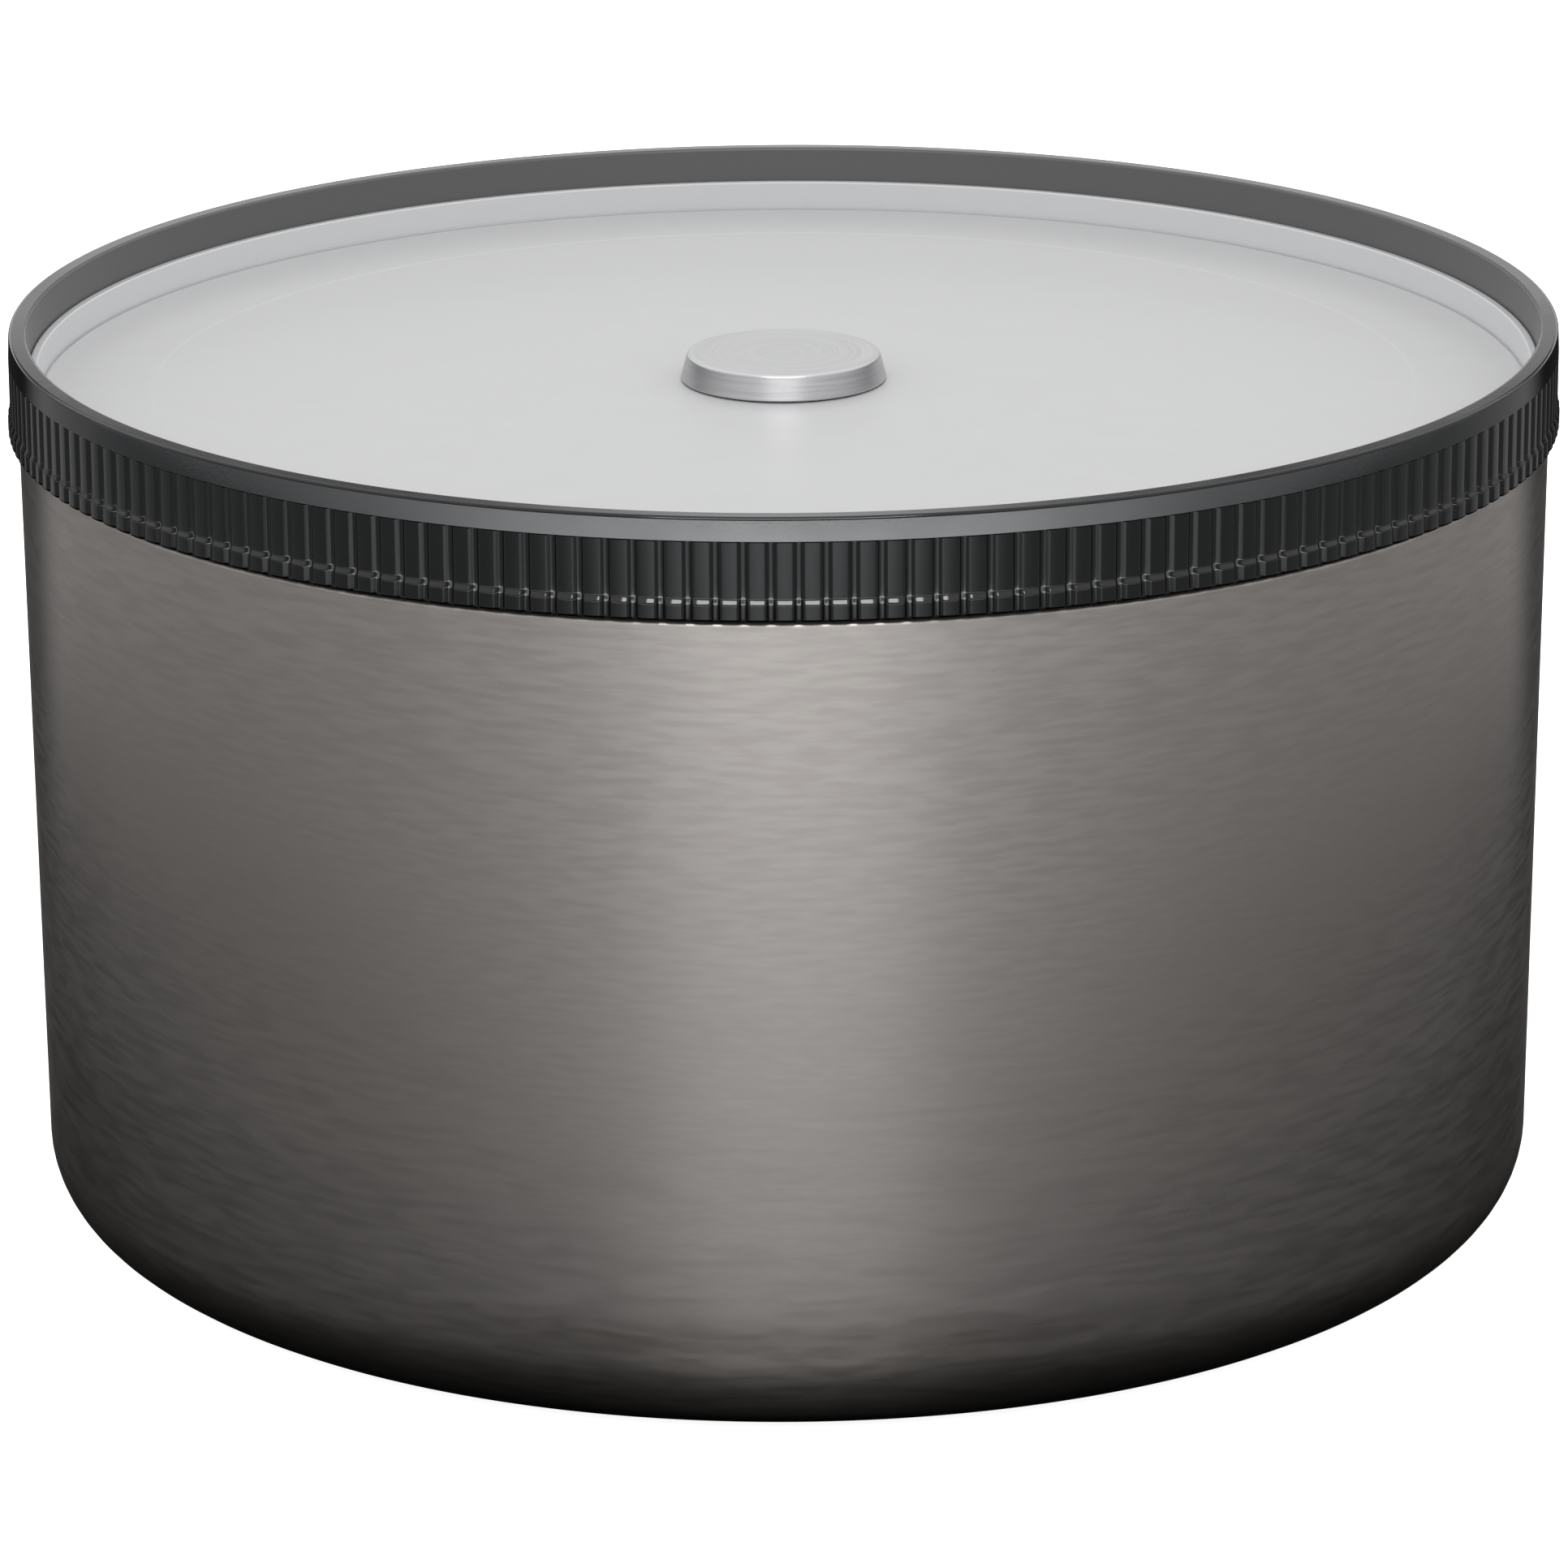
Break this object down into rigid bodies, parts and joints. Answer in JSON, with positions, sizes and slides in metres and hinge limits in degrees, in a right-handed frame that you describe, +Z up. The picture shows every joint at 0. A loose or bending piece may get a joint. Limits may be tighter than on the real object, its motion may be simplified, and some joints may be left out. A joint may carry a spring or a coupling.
{
  "type": "stainless food canister",
  "caption": "Wide, low double-walled stainless canister with a tapered brushed body and a screw lid: dark fluted grip ring, recessed light panel and a plain round badge.",
  "frame": {"origin": "centre of the base, on the surface that the canister stands on", "axes": "+Z up along the axis of the round body and of the lid's screw; +X to the right seen from the front, which faces -Y"},
  "size_m": [0.18, 0.18, 0.106],
  "materials": {
    "shell_steel": "grey stainless, slightly warm, brushed round the body in fine level lines",
    "vessel_steel": "drawn stainless, satin, left bright inside",
    "seal": "food-grade silicone, matt",
    "ring_gloss": "black moulding, glossy",
    "panel_satin": "light steel, even bead-blasted satin",
    "badge_polished": "polished bevelled side, satin face",
    "cover_plastic": "pale moulded plastic, fine matt"
  },
  "bodies": {
    "canister": {"outer_shell": "shell_steel", "base_plate": "shell_steel", "inner_vessel": "vessel_steel"},
    "lid_seal": {"lid_gasket": "seal"},
    "lid": {"lid_ring": "ring_gloss", "lid_panel": "panel_satin", "lid_badge": "badge_polished", "inner_cover": "cover_plastic"}
  },
  "joints": [
    {"name": "lid_rise", "type": "slide", "parent": "canister", "child": "lid_seal", "axis": [0, 0, 1], "range_m": [0, 0.024]},
    {"name": "lid_turn", "type": "hinge", "parent": "lid_seal", "child": "lid", "pos_m": [0, 0, 0.0951], "axis": [0, 0, 1], "range_deg": [0, 360]}
  ],
  "couplings": [
    {"joint": "lid_rise", "follows": "lid_turn", "m_per_rad": 0.0038197}
  ]
}
